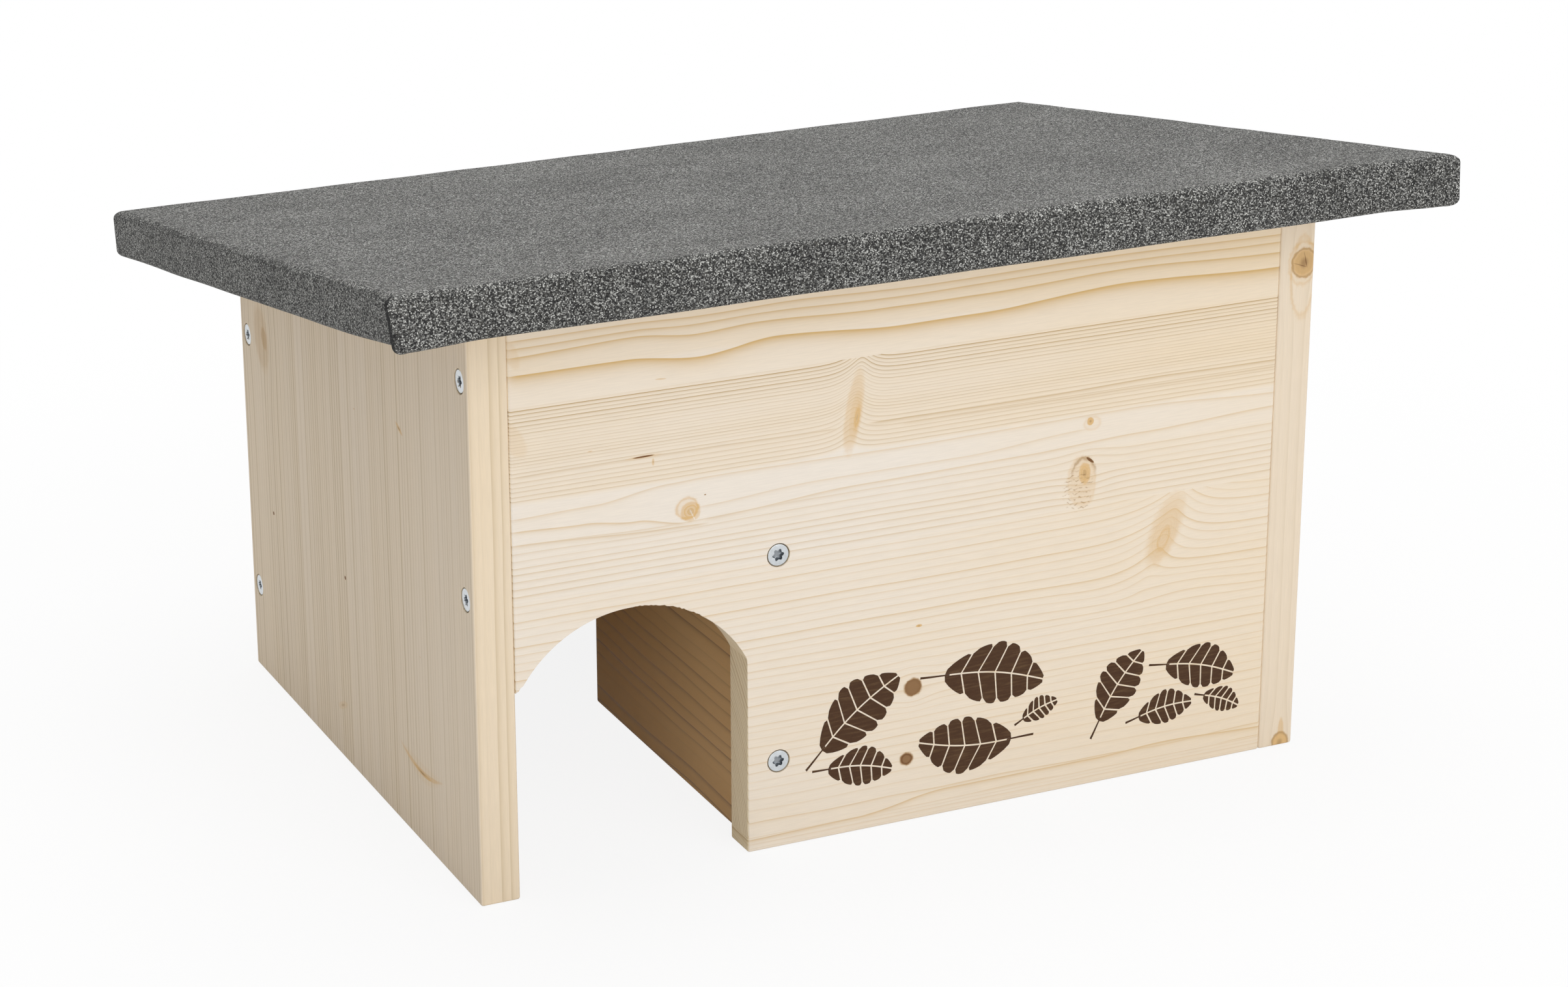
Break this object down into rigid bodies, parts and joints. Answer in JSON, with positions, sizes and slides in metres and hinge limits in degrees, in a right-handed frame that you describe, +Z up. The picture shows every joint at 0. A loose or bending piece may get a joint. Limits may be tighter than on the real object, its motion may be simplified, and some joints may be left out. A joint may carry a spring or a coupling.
{
  "type": "hedgehog house",
  "caption": "Softwood hedgehog shelter with an open foot, an arched side entrance beside a short inner wall, and a lift-off pent roof wrapped in mineral roofing felt.",
  "frame": {"origin": "on the ground, in the middle of the whole house's outline seen from above", "axes": "+X to the right along the front, +Y from the entrance front to the back, +Z up"},
  "size_m": [0.4974, 0.3974, 0.2903],
  "materials": {
    "side_wood": "untreated planed spruce, grain upright",
    "front_wood": "untreated planed spruce, grain across",
    "inner_wood": "untreated planed spruce, grain front to back",
    "roof_wood": "untreated planed spruce",
    "mineral_felt": "bitumen felt with grey mineral granules",
    "zinc_steel": "bright zinc-plated steel"
  },
  "bodies": {
    "house": {"left_side_panel": "side_wood", "right_side_panel": "side_wood", "front_panel": "front_wood", "back_panel": "front_wood", "partition_panel": "inner_wood", "left_front_screws": "zinc_steel", "left_back_screws": "zinc_steel", "right_front_screws": "zinc_steel", "right_back_screws": "zinc_steel", "partition_screws": "zinc_steel"},
    "roof": {"roof_board": "roof_wood", "roofing_felt": "mineral_felt", "left_batten": "roof_wood", "right_batten": "roof_wood", "left_batten_screws": "zinc_steel", "right_batten_screws": "zinc_steel", "front_hem_staples": "zinc_steel", "back_hem_staples": "zinc_steel", "left_hem_staples": "zinc_steel", "right_hem_staples": "zinc_steel"}
  },
  "joints": [
    {"name": "roof_lift", "type": "slide", "parent": "house", "child": "roof", "axis": [0, 0, 1], "range_m": [0, 0.045]}
  ]
}
